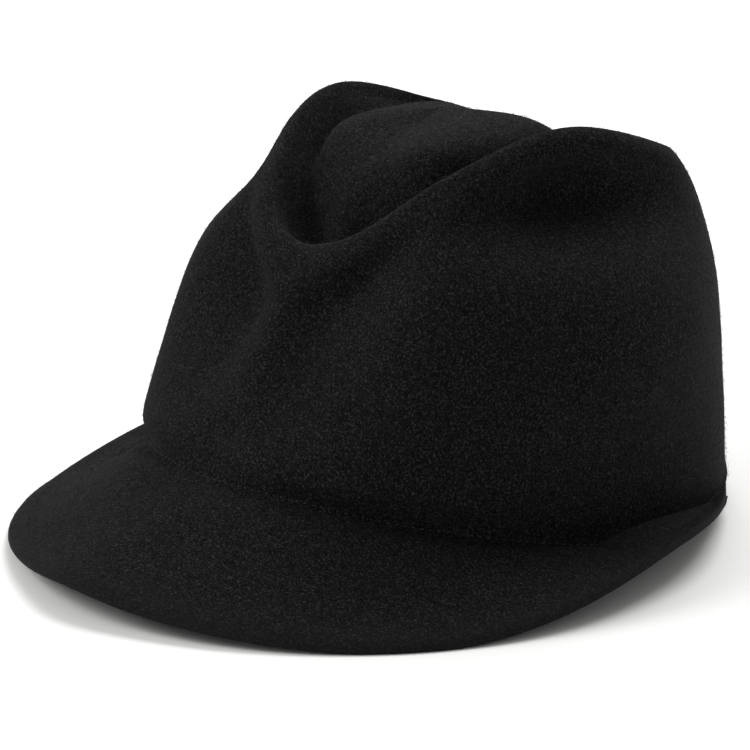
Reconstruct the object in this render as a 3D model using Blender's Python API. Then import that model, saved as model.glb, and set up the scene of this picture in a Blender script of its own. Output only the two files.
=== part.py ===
"""Blocked wool felt hat: a visor brim, a leaning crown and a rolled crease on top.

Metres, +Z up. The visor points towards -Y and the wearer's left side is +X.
The hat is one sheet of felt, so the model is one closed body: an outer skin,
an inner skin one felt thickness inside it, and the cut edge that joins them.
The outer skin is lofted round the head from a half profile that runs up from
the brim's edge to the middle of the crown.
"""

import math

import bmesh
import bpy
import numpy as np

# Head oval, measured on the outside of the felt where the brim meets the crown.
HEAD_LENGTH = 0.193
HEAD_WIDTH = 0.164

# Height of the rolled crease's top above the surface that the hat rests on.
CROWN_HEIGHT = 0.127

# How far the visor stands out from the head oval at its longest, and how high
# the line where it meets the crown lies at the front.
VISOR_REACH = 0.050
SEAM_HEIGHT = 0.029

# Thickness of the felt sheet, and outer radius of the roll round the crease.
FELT_THICKNESS = 0.0025
ROLL_RADIUS = 0.0045

# Size of the visor's bend into the crown: along the brim at its most and least,
# and down from the seam where the brim droops.
BEND_RUN = 0.0065
BEND_LEAST = 0.0005
BEND_DROP = 0.0025

# The bend's run as a share of the brim's reach, and the seam's height over the
# edge, as a share of SEAM_HEIGHT, from which the brim droops in full.
BEND_SHARE = 0.15
FULL_DROOP = 0.6

# The brim's middle, as shares of its reach and of its rise up to the seam.
BRIM_MIDDLE_OUT = 0.55
BRIM_MIDDLE_UP = 0.42

# The cut edge, in felt thicknesses: its width underneath and its rounding above.
EDGE_WIDTH = 1.2
LIP_SETBACK = 0.2

# Half sections round the hat, in degrees from the front. Both sides match.
SECTIONS = ("front", "brow", "temple", "side", "quarter", "back")
SECTION_ANGLES = (0, 12, 45, 90, 135, 180)

# The brim at each section: how far its edge stands out, as shares of
# VISOR_REACH, and how high its edge and its seam lie, as shares of SEAM_HEIGHT.
# An edge share below zero is pressed flat against the surface.
BRIM = {
    "edge_out": (1.000, 0.952, 0.820, 0.400, 0.010, 0.110),
    "edge_up": (0.270, 0.164, -0.010, 0.410, 0.160, -0.020),
    "seam_up": (1.030, 1.022, 0.720, 0.270, 0.280, 0.310),
}

# The crown's rings from the seam to the middle of the dome. "out" holds shares
# of the head oval's radius and "up" holds shares of CROWN_HEIGHT.
CROWN = {
    "wall_low": {
        "out": (0.955, 0.990, 1.040, 0.990, 0.985, 1.000),
        "up": (0.290, 0.285, 0.245, 0.220, 0.245, 0.285),
    },
    "wall_high": {
        "out": (0.905, 0.891, 0.990, 1.040, 0.955, 0.965),
        "up": (0.345, 0.366, 0.420, 0.510, 0.540, 0.500),
    },
    "shoulder": {
        "out": (0.800, 0.765, 0.865, 0.905, 0.915, 0.930),
        "up": (0.470, 0.475, 0.645, 0.685, 0.660, 0.610),
    },
    "pinch": {
        "out": (0.700, 0.645, 0.680, 0.540, 0.830, 0.830),
        "up": (0.585, 0.600, 0.800, 0.845, 0.815, 0.730),
    },
    "crest": {
        "out": (0.585, 0.589, 0.560, 0.615, 0.760, 0.775),
        "up": (0.730, 0.748, 0.895, 1.000, 0.905, 0.745),
    },
    "valley": {
        "out": (0.490, 0.463, 0.470, 0.465, 0.485, 0.500),
        "up": (0.670, 0.685, 0.825, 0.870, 0.890, 0.830),
    },
    "dome": {
        "out": (0.350, 0.346, 0.375, 0.330, 0.300, 0.310),
        "up": (0.880, 0.891, 0.940, 0.960, 0.965, 0.910),
    },
}
DOME_TOP = 0.995

# How full the roll round the crease is at each section, as shares of ROLL_RADIUS.
ROLL_FULLNESS = (1.5, 1.45, 1.2, 1.0, 0.9, 0.3)
ROLL_INNER_DROP = 1.1

# Mesh steps: segments round the head, how much closer they lie at the front,
# and steps between one ring of the profile and the next, from the edge up.
SEGMENTS = 84
FRONT_CROWDING = 0.35
PROFILE_STEPS = (1, 2, 1, 2, 3, 3, 3, 2, 2, 2, 2, 2, 3)

FELT_COLOR = (0.0075, 0.0075, 0.0080, 1.0)


def hermite(start, leave, end, arrive, x):
    """Cubic curve from start to end with the two end slopes, at x from 0 to 1."""
    x2 = x * x
    x3 = x2 * x
    return (
        (2 * x3 - 3 * x2 + 1) * start
        + (x3 - 2 * x2 + x) * leave
        + (3 * x2 - 2 * x3) * end
        + (x3 - x2) * arrive
    )


def around(shares, turn):
    """Smooth value at the angles turn, from one share per section.

    The column is mirrored past the front and the back, so the curve is level there.
    """
    angles = np.radians(SECTION_ANGLES)
    knots = np.concatenate([-angles[2:0:-1], angles, 2 * math.pi - angles[-2:-4:-1]])
    values = np.asarray(shares, float)
    values = np.concatenate([values[2:0:-1], values, values[-2:-4:-1]])
    gaps = np.diff(knots)
    slopes = np.diff(values) / gaps
    tangents = np.zeros_like(values)
    tangents[1:-1] = (slopes[:-1] * gaps[1:] + slopes[1:] * gaps[:-1]) / (gaps[1:] + gaps[:-1])
    half_turn = np.abs((turn + math.pi) % (2 * math.pi) - math.pi)
    i = np.clip(np.searchsorted(knots, half_turn, side="right") - 1, 1, len(knots) - 3)
    x = (half_turn - knots[i]) / gaps[i]
    return hermite(values[i], gaps[i] * tangents[i], values[i + 1], gaps[i] * tangents[i + 1], x)


def head_radius(turn):
    """Radius of the head oval at the angles turn, 0 at the front."""
    along = np.cos(turn) / (HEAD_LENGTH / 2)
    across = np.sin(turn) / (HEAD_WIDTH / 2)
    return 1 / np.sqrt(along**2 + across**2)


def edge_line(turn):
    """Radius and height of the brim's lower edge. It is pressed flat where it rests."""
    radius = head_radius(turn) + VISOR_REACH * around(BRIM["edge_out"], turn)
    height = SEAM_HEIGHT * around(BRIM["edge_up"], turn)
    return radius, np.maximum(height, 0)


def profile_rings(turn):
    """Named points of the half profile, as (radius, height), from the edge up."""
    head = head_radius(turn)
    edge_out, edge_up = edge_line(turn)
    seam_up = SEAM_HEIGHT * around(BRIM["seam_up"], turn)
    lip = edge_up + FELT_THICKNESS
    reach = edge_out - head
    bend = np.minimum(BEND_RUN, BEND_SHARE * reach + BEND_LEAST)
    droop = np.clip((seam_up - lip) / (FULL_DROOP * SEAM_HEIGHT), 0, 1)
    rings = [
        (edge_out - LIP_SETBACK * FELT_THICKNESS, lip),
        (head + BRIM_MIDDLE_OUT * reach, lip + BRIM_MIDDLE_UP * (seam_up - lip)),
        (head + bend, seam_up - BEND_DROP * droop),
        (head, seam_up),
    ]
    for name, ring in CROWN.items():
        out = head * around(ring["out"], turn)
        up = CROWN_HEIGHT * around(ring["up"], turn)
        if name == "crest":
            roll = ROLL_RADIUS * around(ROLL_FULLNESS, turn)
            rings.append((out + roll, up - roll))
            rings.append((out, up))
            rings.append((out - roll, up - ROLL_INNER_DROP * roll))
        else:
            rings.append((out, up))
    rings.append((0 * turn, 0 * turn + CROWN_HEIGHT * DOME_TOP))
    return [np.stack(ring, axis=-1) for ring in rings]


def smooth_profile(rings, steps):
    """Curve through the profile's points that doesn't overshoot where they lie close."""
    points = np.stack([2 * rings[0] - rings[1], *rings, 2 * rings[-1] - rings[-2]])
    chord = np.sqrt(np.linalg.norm(np.diff(points, axis=0), axis=2))[..., None]
    rows = []
    for k, count in enumerate(steps, start=1):
        before, start, end, after = points[k - 1 : k + 3]
        d0, d1, d2 = chord[k - 1 : k + 2]
        leave = (start - before) / d0 - (end - before) / (d0 + d1) + (end - start) / d1
        arrive = (end - start) / d1 - (after - start) / (d1 + d2) + (after - end) / d2
        for step in range(count):
            rows.append(hermite(start, d1 * leave, end, d1 * arrive, step / count))
    rows.append(points[-2])
    return np.stack(rows)


def place(radius, height, turn):
    """Points in space for radii and heights at the angles turn."""
    return np.stack([radius * np.sin(turn), -radius * np.cos(turn), height + 0 * turn], axis=-1)


def outer_skin(turn, steps):
    """Grid of points on the felt's outer face: rows from the edge up, columns round."""
    profile = smooth_profile(profile_rings(turn), steps)
    return place(profile[..., 0], profile[..., 1], turn)


def outward_normals(grid):
    """Unit normals of a grid that closes on itself round the hat and ends in a point."""
    round_way = np.roll(grid, -1, axis=1) - np.roll(grid, 1, axis=1)
    up_way = np.gradient(grid, axis=0)
    normals = np.cross(round_way, up_way)
    normals[-1] = (0, 0, 1)
    return normals / np.linalg.norm(normals, axis=-1, keepdims=True)


def crowded_turns(count):
    """Angles round the hat, closer together at the front, where the crease starts."""
    even = np.arange(count) * 2 * math.pi / count
    return even - FRONT_CROWDING * np.sin(even)


def middle_shift():
    """Distance that brings the middle of the hat's length to y = 0."""
    radius, _ = edge_line(np.array([0.0, math.pi]))
    return (radius[0] - radius[1]) / 2


def add_ring(mesh, points):
    return [mesh.verts.new(point) for point in points]


def join_rings(mesh, lower, upper):
    """Quads between two rings of equal length, facing out when lower is below."""
    for i in range(len(lower)):
        j = (i + 1) % len(lower)
        mesh.faces.new((lower[i], lower[j], upper[j], upper[i]))


def close_with_fan(mesh, ring, middle, outside):
    """Triangles from a ring to the point in its middle."""
    tip = mesh.verts.new(middle)
    for i in range(len(ring)):
        j = (i + 1) % len(ring)
        corners = (ring[i], ring[j], tip) if outside else (ring[j], ring[i], tip)
        mesh.faces.new(corners)


def felt_mesh():
    """Closed felt sheet: outer skin, inner skin and the cut edge that joins them."""
    turn = crowded_turns(SEGMENTS)
    outer = outer_skin(turn, PROFILE_STEPS)
    inner = outer - FELT_THICKNESS * outward_normals(outer)
    radius, height = edge_line(turn)
    inner[..., 2] = np.maximum(inner[..., 2], height)
    edge_outside = place(radius, height, turn)
    edge_inside = place(radius - EDGE_WIDTH * FELT_THICKNESS, height, turn)
    shift = np.array([0, middle_shift(), 0])

    mesh = bmesh.new()
    outside = [add_ring(mesh, row + shift) for row in [edge_outside, *outer[:-1]]]
    inside = [add_ring(mesh, row + shift) for row in [edge_inside, *inner[1:-1]]]
    for lower, upper in zip(outside, outside[1:]):
        join_rings(mesh, lower, upper)
    for lower, upper in zip(inside, inside[1:]):
        join_rings(mesh, upper, lower)
    join_rings(mesh, inside[0], outside[0])
    close_with_fan(mesh, outside[-1], outer[-1, 0] + shift, True)
    close_with_fan(mesh, inside[-1], inner[-1, 0] + shift, False)
    return mesh


def felt_material():
    """Matt black wool felt."""
    material = bpy.data.materials.new("black_wool_felt")
    material.use_nodes = True
    shader = material.node_tree.nodes["Principled BSDF"]
    shader.inputs["Base Color"].default_value = FELT_COLOR
    shader.inputs["Roughness"].default_value = 0.95
    shader.inputs["Metallic"].default_value = 0.0
    return material


def build():
    for old in list(bpy.data.objects):
        bpy.data.objects.remove(old, do_unlink=True)
    sheet = felt_mesh()
    data = bpy.data.meshes.new("felt_cap")
    sheet.to_mesh(data)
    sheet.free()
    data.materials.append(felt_material())
    data.shade_smooth()
    hat = bpy.data.objects.new("felt_cap", data)
    bpy.context.scene.collection.objects.link(hat)


build()
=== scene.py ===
"""Studio picture of a black wool felt hat with a visor brim and a rolled crease.

Metres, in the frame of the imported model: +Z up, the visor towards -Y, the
wearer's left side towards +X, and the brim resting on z = 0.
"""

import math

import bpy
import numpy as np
from mathutils import Matrix, Vector, noise


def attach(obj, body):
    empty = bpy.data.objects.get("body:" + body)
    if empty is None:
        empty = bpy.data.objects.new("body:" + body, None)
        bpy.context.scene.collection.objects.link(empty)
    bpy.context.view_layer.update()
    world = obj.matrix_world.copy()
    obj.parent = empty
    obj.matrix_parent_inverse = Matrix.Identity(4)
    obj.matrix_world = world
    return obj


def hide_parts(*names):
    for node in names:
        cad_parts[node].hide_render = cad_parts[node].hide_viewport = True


MM = 0.001

# The felt's form, from the same driving sizes and sections as the solid part has.
HEAD_LENGTH = 193 * MM
HEAD_WIDTH = 164 * MM
CROWN_HEIGHT = 127 * MM
VISOR_REACH = 50 * MM
SEAM_HEIGHT = 29 * MM
FELT_THICKNESS = 2.5 * MM
ROLL_RADIUS = 4.5 * MM
BEND_RUN = 6.5 * MM
BEND_LEAST = 0.5 * MM
BEND_DROP = 2.5 * MM

# The bend's run as a share of the brim's reach, and the seam's height over the
# edge, as a share of SEAM_HEIGHT, from which the brim droops in full.
BEND_SHARE = 0.15
FULL_DROOP = 0.6

# The brim's middle, as shares of its reach and of its rise up to the seam.
BRIM_MIDDLE_OUT = 0.55
BRIM_MIDDLE_UP = 0.42

# The cut edge, in felt thicknesses: its width underneath and its rounding above.
EDGE_WIDTH = 1.2
LIP_SETBACK = 0.2

# Half sections round the hat, in degrees from the front: front, brow, temple,
# side, quarter and back. Both sides match.
SECTION_ANGLES = (0, 12, 45, 90, 135, 180)

# The brim at each section: how far its edge stands out, as shares of
# VISOR_REACH, and how high its edge and its seam lie, as shares of SEAM_HEIGHT.
# An edge share below zero is pressed flat against the surface.
BRIM = {
    "edge_out": (1.000, 0.952, 0.820, 0.400, 0.010, 0.110),
    "edge_up": (0.270, 0.164, -0.010, 0.410, 0.160, -0.020),
    "seam_up": (1.030, 1.022, 0.720, 0.270, 0.280, 0.310),
}

# The crown's rings from the seam to the middle of the dome. "out" holds shares
# of the head oval's radius and "up" holds shares of CROWN_HEIGHT.
CROWN = {
    "wall_low": {
        "out": (0.955, 0.990, 1.040, 0.990, 0.985, 1.000),
        "up": (0.290, 0.285, 0.245, 0.220, 0.245, 0.285),
    },
    "wall_high": {
        "out": (0.905, 0.891, 0.990, 1.040, 0.955, 0.965),
        "up": (0.345, 0.366, 0.420, 0.510, 0.540, 0.500),
    },
    "shoulder": {
        "out": (0.800, 0.765, 0.865, 0.905, 0.915, 0.930),
        "up": (0.470, 0.475, 0.645, 0.685, 0.660, 0.610),
    },
    "pinch": {
        "out": (0.700, 0.645, 0.680, 0.540, 0.830, 0.830),
        "up": (0.585, 0.600, 0.800, 0.845, 0.815, 0.730),
    },
    "crest": {
        "out": (0.585, 0.589, 0.560, 0.615, 0.760, 0.775),
        "up": (0.730, 0.748, 0.895, 1.000, 0.905, 0.745),
    },
    "valley": {
        "out": (0.490, 0.463, 0.470, 0.465, 0.485, 0.500),
        "up": (0.670, 0.685, 0.825, 0.870, 0.890, 0.830),
    },
    "dome": {
        "out": (0.350, 0.346, 0.375, 0.330, 0.300, 0.310),
        "up": (0.880, 0.891, 0.940, 0.960, 0.965, 0.910),
    },
}
DOME_TOP = 0.995

# How full the roll round the crease is at each section, as shares of ROLL_RADIUS.
ROLL_FULLNESS = (1.5, 1.45, 1.2, 1.0, 0.9, 0.3)
ROLL_INNER_DROP = 1.1

# Mesh steps of the fine surface, the profile's rings for the seam and the pinch,
# and the share of rows that the inner face keeps, one in so many.
SEGMENTS = 400
FRONT_CROWDING = 0.35
PROFILE_STEPS = (6, 8, 6, 8, 10, 10, 10, 8, 8, 8, 8, 8, 12)
SEAM_RING = 3
PINCH_RING = 7
INNER_STRIDE = 2

# The cut edge: rounding of its corners, as the knife and then wear leave them,
# share of its width and height where it has a row in between, and how far it
# leans in at that height.
EDGE_ROUNDING = 0.7 * MM
EDGE_CORNER_STEPS = (0, 30, 60, 90)
EDGE_MIDDLE = 0.6
EDGE_LEAN = 0.05 * MM
# Wear on the cut edge, and on the rows above it, where it fades.
EDGE_WEAR = 0.6
WEAR_ABOVE = (0.5, 0.3, 0.15, 0.05)

# Unevenness of hand-blocked felt: (width of a swell, height), widest first, and
# the distance from the cut edge over which it comes in.
SWELLS = ((38 * MM, 0.45 * MM), (13 * MM, 0.16 * MM), (4.5 * MM, 0.05 * MM))
SWELL_FADE = 4 * MM

# The seam: depth and half width of its groove, and its stitches with how far
# their middles stand over it and their least and greatest size. A point out of
# the seam's reach is given as FAR_FROM_SEAM groove widths away.
SEAM_GROOVE = 0.28 * MM
SEAM_GROOVE_WIDTH = 1.1 * MM
FAR_FROM_SEAM = 50.0
STITCH_PITCH = 2.45 * MM
STITCH_LENGTH = 1.0 * MM
STITCH_THICKNESS = 0.5 * MM
STITCH_STAND = 0.10 * MM
STITCH_SIZES = (0.75, 1.15)
STITCH_SEED = 5

# Loose fibres: their width, least and greatest size, and tilt in radians, and
# the mesh rows of the edge's fibres and of the first on the visor.
FIBRE_WIDTH = 0.07 * MM
FIBRE_SIZES = (0.5, 1.3)
FIBRE_TILT = 0.35
EDGE_ROWS = (0, 4)
VISOR_FIRST_ROW = 3

# Place of the camera, in degrees round from the front and above level and in
# metres from the hat, and its lens and sensor in millimetres.
VIEW_AZIMUTH = 48.3
VIEW_ELEVATION = 16.2
VIEW_ROLL = -0.30
VIEW_DISTANCE = 0.888
LENS = 134.6
SENSOR = 36.0
NEAREST_SEEN = 0.05
# Where the hat's middle lies in the picture, and the picture's scale there.
HAT_MIDDLE_PX = (442.8, 500.5)
PICTURE_PX = 750
PX_PER_METRE = LENS / SENSOR * PICTURE_PX / VIEW_DISTANCE

# The studio in metres and watts. Lights are placed by how far they stand to the
# camera's right, towards the camera and up from the middle of the hat.
FLOOR_HALF = 6.0
LIGHTS_AIM = (0, 0, 0.06)
KEY = {"place": (-1.4, -0.1, 1.0), "size": (0.9, 0.9), "watts": 18}
RIM = {"place": (0.4, -0.7, 1.3), "size": (1.2, 0.7), "watts": 19}
SURROUND_STRENGTH = 0.42


def hermite(start, leave, end, arrive, x):
    """Cubic curve from start to end with the two end slopes, at x from 0 to 1."""
    x2 = x * x
    x3 = x2 * x
    return (
        (2 * x3 - 3 * x2 + 1) * start
        + (x3 - 2 * x2 + x) * leave
        + (3 * x2 - 2 * x3) * end
        + (x3 - x2) * arrive
    )


def around(shares, turn):
    """Smooth value at the angles turn, from one share per section."""
    angles = np.radians(SECTION_ANGLES)
    knots = np.concatenate([-angles[2:0:-1], angles, 2 * math.pi - angles[-2:-4:-1]])
    values = np.asarray(shares, float)
    values = np.concatenate([values[2:0:-1], values, values[-2:-4:-1]])
    gaps = np.diff(knots)
    slopes = np.diff(values) / gaps
    tangents = np.zeros_like(values)
    tangents[1:-1] = (slopes[:-1] * gaps[1:] + slopes[1:] * gaps[:-1]) / (gaps[1:] + gaps[:-1])
    half_turn = np.abs((turn + math.pi) % (2 * math.pi) - math.pi)
    i = np.clip(np.searchsorted(knots, half_turn, side="right") - 1, 1, len(knots) - 3)
    x = (half_turn - knots[i]) / gaps[i]
    return hermite(values[i], gaps[i] * tangents[i], values[i + 1], gaps[i] * tangents[i + 1], x)


def head_radius(turn):
    """Radius of the head oval at the angles turn, 0 at the front."""
    along = np.cos(turn) / (HEAD_LENGTH / 2)
    across = np.sin(turn) / (HEAD_WIDTH / 2)
    return 1 / np.sqrt(along**2 + across**2)


def edge_line(turn):
    """Radius and height of the brim's lower edge. It is pressed flat where it rests."""
    radius = head_radius(turn) + VISOR_REACH * around(BRIM["edge_out"], turn)
    height = SEAM_HEIGHT * around(BRIM["edge_up"], turn)
    return radius, np.maximum(height, 0)


def profile_rings(turn):
    """Named points of the half profile, as (radius, height), from the edge up."""
    head = head_radius(turn)
    edge_out, edge_up = edge_line(turn)
    seam_up = SEAM_HEIGHT * around(BRIM["seam_up"], turn)
    lip = edge_up + FELT_THICKNESS
    reach = edge_out - head
    bend = np.minimum(BEND_RUN, BEND_SHARE * reach + BEND_LEAST)
    droop = np.clip((seam_up - lip) / (FULL_DROOP * SEAM_HEIGHT), 0, 1)
    rings = [
        (edge_out - LIP_SETBACK * FELT_THICKNESS, lip),
        (head + BRIM_MIDDLE_OUT * reach, lip + BRIM_MIDDLE_UP * (seam_up - lip)),
        (head + bend, seam_up - BEND_DROP * droop),
        (head, seam_up),
    ]
    for name, ring in CROWN.items():
        out = head * around(ring["out"], turn)
        up = CROWN_HEIGHT * around(ring["up"], turn)
        if name == "crest":
            roll = ROLL_RADIUS * around(ROLL_FULLNESS, turn)
            rings.append((out + roll, up - roll))
            rings.append((out, up))
            rings.append((out - roll, up - ROLL_INNER_DROP * roll))
        else:
            rings.append((out, up))
    rings.append((0 * turn, 0 * turn + CROWN_HEIGHT * DOME_TOP))
    return [np.stack(ring, axis=-1) for ring in rings]


def smooth_profile(rings, steps):
    """Curve through the profile's points that doesn't overshoot where they lie close."""
    points = np.stack([2 * rings[0] - rings[1], *rings, 2 * rings[-1] - rings[-2]])
    chord = np.sqrt(np.linalg.norm(np.diff(points, axis=0), axis=2))[..., None]
    rows = []
    for k, count in enumerate(steps, start=1):
        before, start, end, after = points[k - 1 : k + 3]
        d0, d1, d2 = chord[k - 1 : k + 2]
        leave = (start - before) / d0 - (end - before) / (d0 + d1) + (end - start) / d1
        arrive = (end - start) / d1 - (after - start) / (d1 + d2) + (after - end) / d2
        for step in range(count):
            rows.append(hermite(start, d1 * leave, end, d1 * arrive, step / count))
    rows.append(points[-2])
    return np.stack(rows)


def middle_shift():
    """Distance that brings the middle of the hat's length to y = 0."""
    radius, _ = edge_line(np.array([0.0, math.pi]))
    return (radius[0] - radius[1]) / 2


def place(radius, height, turn):
    """Points in space for radii and heights at the angles turn."""
    y = middle_shift() - radius * np.cos(turn)
    return np.stack([radius * np.sin(turn), y, height + 0 * turn], axis=-1)


def outward_normals(grid):
    """Unit normals of a grid that closes on itself round the hat and ends in a point."""
    round_way = np.roll(grid, -1, axis=1) - np.roll(grid, 1, axis=1)
    up_way = np.gradient(grid, axis=0)
    normals = np.cross(round_way, up_way)
    normals[-1] = (0, 0, 1)
    return normals / np.linalg.norm(normals, axis=-1, keepdims=True)


def crowded_turns(count):
    """Angles round the hat, closer together at the front, where the crease starts."""
    even = np.arange(count) * 2 * math.pi / count
    return even - FRONT_CROWDING * np.sin(even)


def hex_color(code):
    """Linear colour from an sRGB hex code."""
    channels = [int(code[i : i + 2], 16) / 255 for i in (1, 3, 5)]
    linear = [c / 12.92 if c <= 0.04045 else ((c + 0.055) / 1.055) ** 2.4 for c in channels]
    return (*linear, 1.0)


def add_node(tree, kind, settings=None, inputs=None):
    """One node with its settings, and its inputs as values or as sockets to link from."""
    node = tree.nodes.new(kind)
    for name, value in (settings or {}).items():
        setattr(node, name, value)
    for key, value in (inputs or {}).items():
        if isinstance(value, bpy.types.NodeSocket):
            tree.links.new(value, node.inputs[key])
        else:
            node.inputs[key].default_value = value
    return node


def new_material(name):
    material = bpy.data.materials.new(name)
    material.use_nodes = True
    tree = material.node_tree
    return material, tree, tree.nodes["Principled BSDF"]


def seam_pucker(tree):
    """Waves that the stitches pull into the felt along the seam, dying out beside it."""
    seam = add_node(tree, "ShaderNodeUVMap", {"uv_map": "seam"}).outputs["UV"]
    along_across = add_node(tree, "ShaderNodeSeparateXYZ", inputs={"Vector": seam})
    stitch_turn = add_node(
        tree,
        "ShaderNodeMath",
        {"operation": "MULTIPLY"},
        {0: along_across.outputs["X"], 1: 2 * math.pi},
    ).outputs[0]
    pull = add_node(tree, "ShaderNodeMath", {"operation": "COSINE"}, {0: stitch_turn}).outputs[0]
    off_line = add_node(
        tree, "ShaderNodeMath", {"operation": "ABSOLUTE"}, {0: along_across.outputs["Y"]}
    ).outputs[0]
    near_line = add_node(
        tree,
        "ShaderNodeMapRange",
        {"interpolation_type": "SMOOTHSTEP"},
        {"Value": off_line, "From Min": 0.0, "From Max": 1.0, "To Min": 1.0, "To Max": 0.0},
    ).outputs["Result"]
    return add_node(
        tree, "ShaderNodeMath", {"operation": "MULTIPLY"}, {0: pull, 1: near_line}
    ).outputs[0]


def felt_material():
    """Fulled wool felt, dyed black. Matt, with flecks of nap that catch the light."""
    material, tree, shader = new_material("black_wool_felt")
    here = add_node(tree, "ShaderNodeTexCoord").outputs["Object"]

    cloud = add_node(
        tree,
        "ShaderNodeTexNoise",
        inputs={"Vector": here, "Scale": 1 / (14 * MM), "Detail": 3.0, "Roughness": 0.6},
    ).outputs["Fac"]
    clump = add_node(
        tree,
        "ShaderNodeTexNoise",
        inputs={"Vector": here, "Scale": 1 / (1.7 * MM), "Detail": 3.0, "Roughness": 0.65},
    ).outputs["Fac"]
    # The nap's real flecks are finer than this, but would not show in a picture.
    fleck = add_node(
        tree,
        "ShaderNodeTexNoise",
        inputs={"Vector": here, "Scale": 1 / (0.65 * MM), "Detail": 3.0, "Roughness": 0.65},
    ).outputs["Fac"]

    cloud_share = add_node(
        tree, "ShaderNodeMapRange", inputs={"Value": cloud, "From Min": 0.35, "From Max": 0.65}
    ).outputs["Result"]
    clump_share = add_node(
        tree, "ShaderNodeMapRange", inputs={"Value": clump, "From Min": 0.38, "From Max": 0.70}
    ).outputs["Result"]
    fleck_share = add_node(
        tree, "ShaderNodeMapRange", inputs={"Value": fleck, "From Min": 0.50, "From Max": 0.76}
    ).outputs["Result"]

    ground = add_node(
        tree,
        "ShaderNodeMix",
        {"data_type": "RGBA"},
        {"Factor": cloud_share, 6: hex_color("#08080A"), 7: hex_color("#0C0C0D")},
    ).outputs[2]
    clumped = add_node(
        tree,
        "ShaderNodeMix",
        {"data_type": "RGBA"},
        {"Factor": clump_share, 6: ground, 7: hex_color("#131314")},
    ).outputs[2]
    flecked = add_node(
        tree,
        "ShaderNodeMix",
        {"data_type": "RGBA"},
        {"Factor": fleck_share, 6: clumped, 7: hex_color("#3A3A3B")},
    ).outputs[2]
    # The cut edge shows the felt's paler middle, and rubbing has greyed it.
    worn = add_node(
        tree, "ShaderNodeAttribute", {"attribute_type": "GEOMETRY", "attribute_name": "edge_wear"}
    ).outputs["Fac"]
    colour = add_node(
        tree,
        "ShaderNodeMix",
        {"data_type": "RGBA"},
        {"Factor": worn, 6: flecked, 7: hex_color("#1F1F20")},
    ).outputs[2]

    soft = add_node(
        tree, "ShaderNodeBump", inputs={"Strength": 0.8, "Distance": 0.18 * MM, "Height": clump}
    ).outputs["Normal"]
    fine = add_node(
        tree,
        "ShaderNodeBump",
        inputs={"Strength": 0.8, "Distance": 0.12 * MM, "Height": fleck, "Normal": soft},
    ).outputs["Normal"]
    stitched = add_node(
        tree,
        "ShaderNodeBump",
        {"invert": True},
        {"Strength": 0.7, "Distance": 0.35 * MM, "Height": seam_pucker(tree), "Normal": fine},
    ).outputs["Normal"]

    roughness = add_node(
        tree,
        "ShaderNodeMapRange",
        inputs={"Value": clump, "From Min": 0.3, "From Max": 0.7, "To Min": 0.98, "To Max": 0.82},
    ).outputs["Result"]
    tree.links.new(colour, shader.inputs["Base Color"])
    tree.links.new(stitched, shader.inputs["Normal"])
    tree.links.new(roughness, shader.inputs["Roughness"])
    shader.inputs["Specular IOR Level"].default_value = 0.05
    shader.inputs["Sheen Weight"].default_value = 0.016
    shader.inputs["Sheen Roughness"].default_value = 0.45
    shader.inputs["Sheen Tint"].default_value = hex_color("#C8C8CC")
    return material


def fibre_material():
    """Loose wool fibres on the felt: dyed like it, some a little paler than others."""
    material, tree, shader = new_material("loose_wool_fibre")
    here = add_node(tree, "ShaderNodeTexCoord").outputs["Object"]
    lot = add_node(
        tree,
        "ShaderNodeTexNoise",
        inputs={"Vector": here, "Scale": 1 / (2.5 * MM), "Detail": 1.0},
    ).outputs["Fac"]
    share = add_node(
        tree, "ShaderNodeMapRange", inputs={"Value": lot, "From Min": 0.4, "From Max": 0.68}
    ).outputs["Result"]
    colour = add_node(
        tree,
        "ShaderNodeMix",
        {"data_type": "RGBA"},
        {"Factor": share, 6: hex_color("#0B0B0C"), 7: hex_color("#262627")},
    ).outputs[2]
    tree.links.new(colour, shader.inputs["Base Color"])
    shader.inputs["Roughness"].default_value = 0.7
    shader.inputs["Specular IOR Level"].default_value = 0.1
    return material


def thread_material():
    """Twisted cotton sewing thread, black, with the slight gloss of its ply."""
    material, tree, shader = new_material("black_sewing_thread")
    here = add_node(tree, "ShaderNodeTexCoord").outputs["Object"]
    ply = add_node(
        tree,
        "ShaderNodeTexNoise",
        inputs={"Vector": here, "Scale": 1 / (0.3 * MM), "Detail": 1.0},
    ).outputs["Fac"]
    colour = add_node(
        tree,
        "ShaderNodeMix",
        {"data_type": "RGBA"},
        {"Factor": ply, 6: hex_color("#151516"), 7: hex_color("#3C3C3E")},
    ).outputs[2]
    bump = add_node(
        tree, "ShaderNodeBump", inputs={"Strength": 0.6, "Distance": 0.06 * MM, "Height": ply}
    ).outputs["Normal"]
    tree.links.new(colour, shader.inputs["Base Color"])
    tree.links.new(bump, shader.inputs["Normal"])
    shader.inputs["Roughness"].default_value = 0.6
    shader.inputs["Specular IOR Level"].default_value = 0.2
    return material


def paper_material():
    """Matt white studio paper under and behind the hat."""
    material, tree, shader = new_material("white_studio_paper")
    here = add_node(tree, "ShaderNodeTexCoord").outputs["Object"]
    tooth = add_node(
        tree, "ShaderNodeTexNoise", inputs={"Vector": here, "Scale": 1 / (1.2 * MM)}
    ).outputs["Fac"]
    bump = add_node(
        tree, "ShaderNodeBump", inputs={"Strength": 0.1, "Distance": 0.05 * MM, "Height": tooth}
    ).outputs["Normal"]
    tree.links.new(bump, shader.inputs["Normal"])
    shader.inputs["Base Color"].default_value = hex_color("#F4F4F2")
    shader.inputs["Roughness"].default_value = 0.95
    return material


def swell(point):
    """Height of the felt's unevenness at one point."""
    return sum(height * noise.noise(Vector(point) / width) for width, height in SWELLS)


def ring_row(ring):
    """Mesh row on which a ring of the profile lies."""
    return sum(PROFILE_STEPS[:ring])


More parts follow.
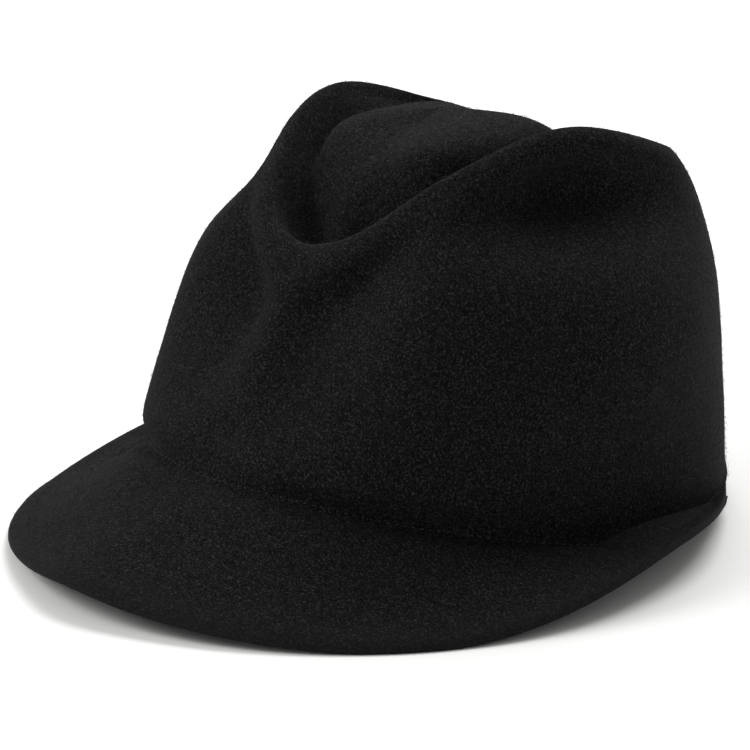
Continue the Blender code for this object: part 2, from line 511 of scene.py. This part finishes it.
def felt_grids(turn):
    """Outer and inner faces of the felt, and each outer point's distance from the seam."""
    profile = smooth_profile(profile_rings(turn), PROFILE_STEPS)
    outer = place(profile[..., 0], profile[..., 1], turn)
    normals = outward_normals(outer)
    steps = np.linalg.norm(np.diff(outer, axis=0), axis=-1)
    run = np.concatenate([np.zeros((1, len(turn))), np.cumsum(steps, axis=0)])
    across = run - run[ring_row(SEAM_RING)]
    uneven = np.apply_along_axis(swell, 2, outer)
    uneven *= np.minimum(1, run / SWELL_FADE)
    uneven[-1] = uneven[-1, 0]
    inner = outer - (FELT_THICKNESS - uneven)[..., None] * normals
    inner[..., 2] = np.maximum(inner[..., 2], edge_line(turn)[1])
    groove = SEAM_GROOVE * np.exp(-((across / SEAM_GROOVE_WIDTH) ** 2))
    outer = outer + (uneven - groove)[..., None] * normals
    return outer, inner, across


def edge_rows(turn):
    """Rows of the cut edge from its inner lower corner, round to its upper corner."""
    radius, height = edge_line(turn)
    inside = EDGE_WIDTH * FELT_THICKNESS
    rows = [
        place(radius - inside, height, turn),
        place(radius - EDGE_MIDDLE * inside, height, turn),
    ]
    for degrees in EDGE_CORNER_STEPS:
        angle = math.radians(degrees)
        out = radius - EDGE_ROUNDING * (1 - math.sin(angle))
        up = height + EDGE_ROUNDING * (1 - math.cos(angle))
        rows.append(place(out, up, turn))
    rows.append(place(radius - EDGE_LEAN, height + EDGE_MIDDLE * FELT_THICKNESS, turn))
    return rows


def mesh_object(name, points, faces, material):
    data = bpy.data.meshes.new(name)
    data.from_pydata([tuple(p) for p in points], [], faces)
    data.materials.append(material)
    data.shade_smooth()
    piece = bpy.data.objects.new(name, data)
    bpy.context.scene.collection.objects.link(piece)
    return piece


def ring_quads(rows, columns, first=0):
    """Faces of a grid that closes on itself, rows stacked from first on."""
    faces = []
    for r in range(rows - 1):
        low = first + r * columns
        for i in range(columns):
            j = (i + 1) % columns
            faces.append((low + i, low + j, low + columns + j, low + columns + i))
    return faces


def fan(ring_start, columns, tip, outside):
    faces = []
    for i in range(columns):
        j = (i + 1) % columns
        pair = (ring_start + i, ring_start + j) if outside else (ring_start + j, ring_start + i)
        faces.append((*pair, tip))
    return faces


def stitch_marks(outer):
    """Place of each column along the seam, counted in stitches, with the end of the last."""
    line = outer[ring_row(SEAM_RING)]
    strides = np.linalg.norm(np.roll(line, -1, axis=0) - line, axis=-1)
    along = np.concatenate([[0], np.cumsum(strides)])
    return along / along[-1] * round(along[-1] / STITCH_PITCH)


def add_seam_map(data, row_count, outer, across):
    """UV map of the sheet: stitches along the seam, and groove widths across it."""
    marks = stitch_marks(outer)
    # The inner face and the cut edge lie out of the seam's reach.
    widths = np.full((row_count, SEGMENTS), FAR_FROM_SEAM)
    widths[row_count - (len(outer) - 1) :] = across[:-1] / SEAM_GROOVE_WIDTH
    corners = np.empty(len(data.loops), dtype=int)
    data.loops.foreach_get("vertex_index", corners)
    u = np.append(np.tile(marks[:-1], row_count), [0, 0])[corners]
    v = np.append(widths.ravel(), [FAR_FROM_SEAM, FAR_FROM_SEAM])[corners]
    # The face that closes each ring runs on to the seam's end, not back to its start.
    quads = u[: 4 * (row_count - 1) * SEGMENTS].reshape(row_count - 1, SEGMENTS, 4)
    quads[:, -1, 1:3] = marks[-1]
    data.uv_layers.new(name="seam").data.foreach_set("uv", np.stack([u, v], axis=-1).ravel())


def add_edge_wear(data, row_count, first_edge_row, edge_row_count):
    """Wear of the cut edge: most on the cut, and fading over the corner above it."""
    wear = np.zeros((row_count, SEGMENTS))
    above = first_edge_row + edge_row_count
    wear[first_edge_row:above] = EDGE_WEAR
    wear[above : above + len(WEAR_ABOVE)] = np.array(WEAR_ABOVE)[:, None]
    values = data.attributes.new("edge_wear", "FLOAT", "POINT")
    values.data.foreach_set("value", np.append(wear.ravel(), [0, 0]).astype(float))


def felt_hat(material):
    """The whole felt sheet: inner face from the dome down, cut edge, outer face up."""
    turn = crowded_turns(SEGMENTS)
    outer, inner, across = felt_grids(turn)
    edge = edge_rows(turn)
    inside = inner[2:-1:INNER_STRIDE][::-1]
    rows = [*inside, *edge, *outer[:-1]]
    points = np.concatenate([*rows, inner[-1, :1], outer[-1, :1]])
    inner_tip = len(rows) * SEGMENTS
    faces = ring_quads(len(rows), SEGMENTS)
    faces += fan((len(rows) - 1) * SEGMENTS, SEGMENTS, inner_tip + 1, True)
    faces += fan(0, SEGMENTS, inner_tip, False)
    hat = mesh_object("felt_hat", points, faces, material)
    add_seam_map(hat.data, len(rows), outer, across)
    add_edge_wear(hat.data, len(rows), len(inside), len(edge))
    return hat, outer


def new_tree(name, inputs):
    """Empty geometry tree with a mesh in and out and the named number inputs."""
    tree = bpy.data.node_groups.new(name, "GeometryNodeTree")
    tree.interface.new_socket("Geometry", in_out="INPUT", socket_type="NodeSocketGeometry")
    tree.interface.new_socket("Geometry", in_out="OUTPUT", socket_type="NodeSocketGeometry")
    for label, kind in inputs:
        tree.interface.new_socket(label, in_out="INPUT", socket_type=kind)
    return tree, add_node(tree, "NodeGroupInput"), add_node(tree, "NodeGroupOutput")


def grown(base, tree, values, name):
    """The plain mesh that a tree makes from a base object, which is then removed."""
    modifier = base.modifiers.new("grow", "NODES")
    modifier.node_group = tree
    for item in tree.interface.items_tree:
        if item.in_out == "INPUT" and item.name in values:
            modifier[item.identifier] = values[item.name]
    seen = base.evaluated_get(bpy.context.evaluated_depsgraph_get())
    data = bpy.data.meshes.new_from_object(seen)
    data.name = name
    piece = bpy.data.objects.new(name, data)
    bpy.context.scene.collection.objects.link(piece)
    bpy.data.objects.remove(base, do_unlink=True)
    return piece


def fibre_tree(material):
    """Short curved fibres scattered on a mesh, lying down with their middles standing up."""
    tree, given, out = new_tree(
        "scattered_fibres",
        [
            ("Density", "NodeSocketFloat"),
            ("Length", "NodeSocketFloat"),
            ("Width", "NodeSocketFloat"),
            ("Seed", "NodeSocketInt"),
        ],
    )
    scatter = add_node(
        tree,
        "GeometryNodeDistributePointsOnFaces",
        {"distribute_method": "RANDOM"},
        {
            "Mesh": given.outputs["Geometry"],
            "Density": given.outputs["Density"],
            "Seed": given.outputs["Seed"],
        },
    )
    shapes = add_node(tree, "GeometryNodeGeometryToInstance")
    # Three fibres, each an arch of unit length that starts just under the surface.
    for middle, end in (
        ((0.45, 0.20, 0.42), (1.0, -0.05, 0.12)),
        ((0.35, -0.30, 0.30), (0.85, 0.25, 0.34)),
        ((0.60, 0.10, 0.22), (0.95, 0.40, -0.04)),
    ):
        arch = add_node(
            tree,
            "GeometryNodeCurveQuadraticBezier",
            inputs={"Resolution": 3, "Start": (0, 0, -0.04), "Middle": middle, "End": end},
        )
        ribbon_edge = add_node(
            tree,
            "GeometryNodeCurvePrimitiveLine",
            inputs={"Start": (-0.5, 0, 0), "End": (0.5, 0, 0)},
        )
        share = add_node(
            tree,
            "ShaderNodeMath",
            {"operation": "DIVIDE"},
            {0: given.outputs["Width"], 1: given.outputs["Length"]},
        )
        width = add_node(
            tree, "ShaderNodeCombineXYZ", inputs={"X": share.outputs[0], "Y": 1.0, "Z": 1.0}
        )
        strip = add_node(
            tree,
            "GeometryNodeTransform",
            inputs={"Geometry": ribbon_edge.outputs[0], "Scale": width.outputs[0]},
        )
        fibre = add_node(
            tree,
            "GeometryNodeCurveToMesh",
            inputs={"Curve": arch.outputs[0], "Profile Curve": strip.outputs[0]},
        )
        tree.links.new(fibre.outputs[0], shapes.inputs[0])
    spin = add_node(
        tree,
        "FunctionNodeRandomValue",
        {"data_type": "FLOAT_VECTOR"},
        {
            "Min": (-FIBRE_TILT, -FIBRE_TILT, 0),
            "Max": (FIBRE_TILT, FIBRE_TILT, 2 * math.pi),
            "Seed": given.outputs["Seed"],
        },
    )
    turned = add_node(
        tree,
        "FunctionNodeRotateRotation",
        {"rotation_space": "LOCAL"},
        {"Rotation": scatter.outputs["Rotation"], "Rotate By": spin.outputs[0]},
    )
    size = add_node(
        tree,
        "FunctionNodeRandomValue",
        {"data_type": "FLOAT"},
        {2: FIBRE_SIZES[0], 3: FIBRE_SIZES[1], "Seed": given.outputs["Seed"]},
    )
    length = add_node(
        tree,
        "ShaderNodeMath",
        {"operation": "MULTIPLY"},
        {0: size.outputs[1], 1: given.outputs["Length"]},
    )
    planted = add_node(
        tree,
        "GeometryNodeInstanceOnPoints",
        inputs={
            "Points": scatter.outputs["Points"],
            "Instance": shapes.outputs[0],
            "Pick Instance": True,
            "Rotation": turned.outputs[0],
            "Scale": length.outputs[0],
        },
    )
    real = add_node(tree, "GeometryNodeRealizeInstances", inputs={"Geometry": planted.outputs[0]})
    dyed = add_node(
        tree, "GeometryNodeSetMaterial", inputs={"Geometry": real.outputs[0], "Material": material}
    )
    tree.links.new(dyed.outputs[0], out.inputs["Geometry"])
    return tree


def felt_patch(name, outer, rows, material):
    """Open strip of the felt's outer face between two rows, to scatter fibres on."""
    part = outer[rows[0] : rows[1]]
    return mesh_object(name, np.concatenate(part), ring_quads(len(part), SEGMENTS), material)


def loose_fibres(outer, material):
    """Fibres that stand out of the felt, in one piece for each part of the hat."""
    tree = fibre_tree(material)
    seam = ring_row(SEAM_RING)
    pinch = ring_row(PINCH_RING)
    # Name, rows, fibres on a square millimetre, length in mm and seed.
    parts = (
        ("edge_fibres", EDGE_ROWS, 1.6, 1.5, 11),
        ("visor_fibres", (VISOR_FIRST_ROW, seam + 1), 0.85, 1.9, 12),
        ("wall_fibres", (seam, pinch), 0.55, 1.9, 13),
        ("top_fibres", (pinch, len(outer) - 1), 0.85, 1.9, 14),
    )
    pieces = []
    for name, rows, per_mm2, length, seed in parts:
        base = felt_patch(name + "_base", outer, rows, material)
        values = {
            "Density": per_mm2 / MM**2,
            "Length": length * MM,
            "Width": FIBRE_WIDTH,
            "Seed": seed,
        }
        pieces.append(grown(base, tree, values, name))
    return pieces


def stitch_tree(material):
    """Short stitches set along a line at an even pitch, each a little different."""
    tree, given, out = new_tree(
        "stitches_along_a_seam",
        [
            ("Count", "NodeSocketInt"),
            ("Length", "NodeSocketFloat"),
            ("Thickness", "NodeSocketFloat"),
        ],
    )
    line = add_node(tree, "GeometryNodeMeshToCurve", inputs={"Mesh": given.outputs["Geometry"]})
    even = add_node(
        tree,
        "GeometryNodeResampleCurve",
        {"mode": "COUNT"},
        {"Curve": line.outputs[0], "Count": given.outputs["Count"]},
    )
    tangent = add_node(tree, "GeometryNodeInputTangent")
    lie = add_node(
        tree,
        "FunctionNodeAlignRotationToVector",
        {"axis": "X"},
        {"Vector": tangent.outputs[0]},
    )
    bead = add_node(
        tree, "GeometryNodeMeshUVSphere", inputs={"Segments": 8, "Rings": 6, "Radius": 0.5}
    )
    size = add_node(
        tree,
        "ShaderNodeCombineXYZ",
        inputs={
            "X": given.outputs["Length"],
            "Y": given.outputs["Thickness"],
            "Z": given.outputs["Thickness"],
        },
    )
    shaped = add_node(
        tree,
        "GeometryNodeTransform",
        inputs={"Geometry": bead.outputs["Mesh"], "Scale": size.outputs[0]},
    )
    slack = add_node(
        tree,
        "FunctionNodeRandomValue",
        {"data_type": "FLOAT"},
        {2: STITCH_SIZES[0], 3: STITCH_SIZES[1], "Seed": STITCH_SEED},
    )
    sewn = add_node(
        tree,
        "GeometryNodeInstanceOnPoints",
        inputs={
            "Points": even.outputs[0],
            "Instance": shaped.outputs[0],
            "Rotation": lie.outputs[0],
            "Scale": slack.outputs[1],
        },
    )
    real = add_node(tree, "GeometryNodeRealizeInstances", inputs={"Geometry": sewn.outputs[0]})
    smooth = add_node(tree, "GeometryNodeSetShadeSmooth", inputs={"Geometry": real.outputs[0]})
    threaded = add_node(
        tree,
        "GeometryNodeSetMaterial",
        inputs={"Geometry": smooth.outputs[0], "Material": material},
    )
    tree.links.new(threaded.outputs[0], out.inputs["Geometry"])
    return tree


def seam_stitches(outer, material):
    """The line of small stitches round the foot of the crown."""
    row = ring_row(SEAM_RING)
    ring = outer[row] + STITCH_STAND * outward_normals(outer)[row]
    data = bpy.data.meshes.new("seam_line")
    edges = [(i, (i + 1) % len(ring)) for i in range(len(ring))]
    data.from_pydata([tuple(p) for p in ring], edges, [])
    base = bpy.data.objects.new("seam_line", data)
    bpy.context.scene.collection.objects.link(base)
    count = round(stitch_marks(outer)[-1])
    values = {"Count": count, "Length": STITCH_LENGTH, "Thickness": STITCH_THICKNESS}
    return grown(base, stitch_tree(material), values, "seam_stitches")


def view_axes():
    """The camera's right, up and back directions, before its roll."""
    azimuth = math.radians(VIEW_AZIMUTH)
    elevation = math.radians(VIEW_ELEVATION)
    right = Vector((math.cos(azimuth), math.sin(azimuth), 0))
    level = math.cos(elevation)
    back = Vector((math.sin(azimuth) * level, -math.cos(azimuth) * level, math.sin(elevation)))
    return right, back.cross(right), back


def make_camera():
    right, up, back = view_axes()
    centre = PICTURE_PX / 2
    aim = Vector((0, middle_shift(), 0))
    aim += right * (centre - HAT_MIDDLE_PX[0]) / PX_PER_METRE
    aim += up * (HAT_MIDDLE_PX[1] - centre) / PX_PER_METRE
    turn = Matrix((right, up, back)).transposed().to_4x4()
    data = bpy.data.cameras.new("studio_camera")
    data.lens = LENS
    data.sensor_width = SENSOR
    data.sensor_height = SENSOR
    data.clip_start = NEAREST_SEEN
    camera = bpy.data.objects.new("studio_camera", data)
    bpy.context.scene.collection.objects.link(camera)
    roll = Matrix.Rotation(math.radians(VIEW_ROLL), 4, "Z")
    camera.matrix_world = Matrix.Translation(aim + back * VIEW_DISTANCE) @ turn @ roll
    bpy.context.scene.camera = camera


def softbox(name, light_row):
    """Rectangular soft light, turned towards the middle of the hat."""
    right, _, back = view_axes()
    aim = Vector(LIGHTS_AIM)
    to_right, to_camera, upward = light_row["place"]
    place_at = aim + right * to_right + back * to_camera + Vector((0, 0, upward))
    data = bpy.data.lights.new(name, "AREA")
    data.shape = "RECTANGLE"
    data.size, data.size_y = light_row["size"]
    data.energy = light_row["watts"]
    light = bpy.data.objects.new(name, data)
    bpy.context.scene.collection.objects.link(light)
    towards = (aim - place_at).to_track_quat("-Z", "Y")
    light.matrix_world = Matrix.Translation(place_at) @ towards.to_matrix().to_4x4()


def make_studio():
    """White paper floor, a key from the left, a rim light above and an even surround."""
    half = FLOOR_HALF
    floor = mesh_object(
        "studio_floor",
        [(-half, -half, 0), (half, -half, 0), (half, half, 0), (-half, half, 0)],
        [(0, 1, 2, 3)],
        paper_material(),
    )
    softbox("key_softbox", KEY)
    softbox("rim_softbox", RIM)
    world = bpy.data.worlds.new("studio_surround")
    world.use_nodes = True
    surround = world.node_tree.nodes["Background"]
    surround.inputs["Color"].default_value = hex_color("#FFFFFF")
    surround.inputs["Strength"].default_value = SURROUND_STRENGTH
    bpy.context.scene.world = world
    bpy.context.scene.view_settings.view_transform = "Standard"


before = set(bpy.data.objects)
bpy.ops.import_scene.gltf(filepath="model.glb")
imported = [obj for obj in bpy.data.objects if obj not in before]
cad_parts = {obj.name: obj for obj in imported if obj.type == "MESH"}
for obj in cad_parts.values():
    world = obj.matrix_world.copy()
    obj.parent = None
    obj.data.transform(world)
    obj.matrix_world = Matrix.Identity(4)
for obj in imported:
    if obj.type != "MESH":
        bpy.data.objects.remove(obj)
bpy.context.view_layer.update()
make_camera()
make_studio()

hat, outer_face = felt_hat(felt_material())
pieces = [hat, seam_stitches(outer_face, thread_material())]
pieces += loose_fibres(outer_face, fibre_material())
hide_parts("felt_cap")
for piece in pieces:
    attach(piece, "root")
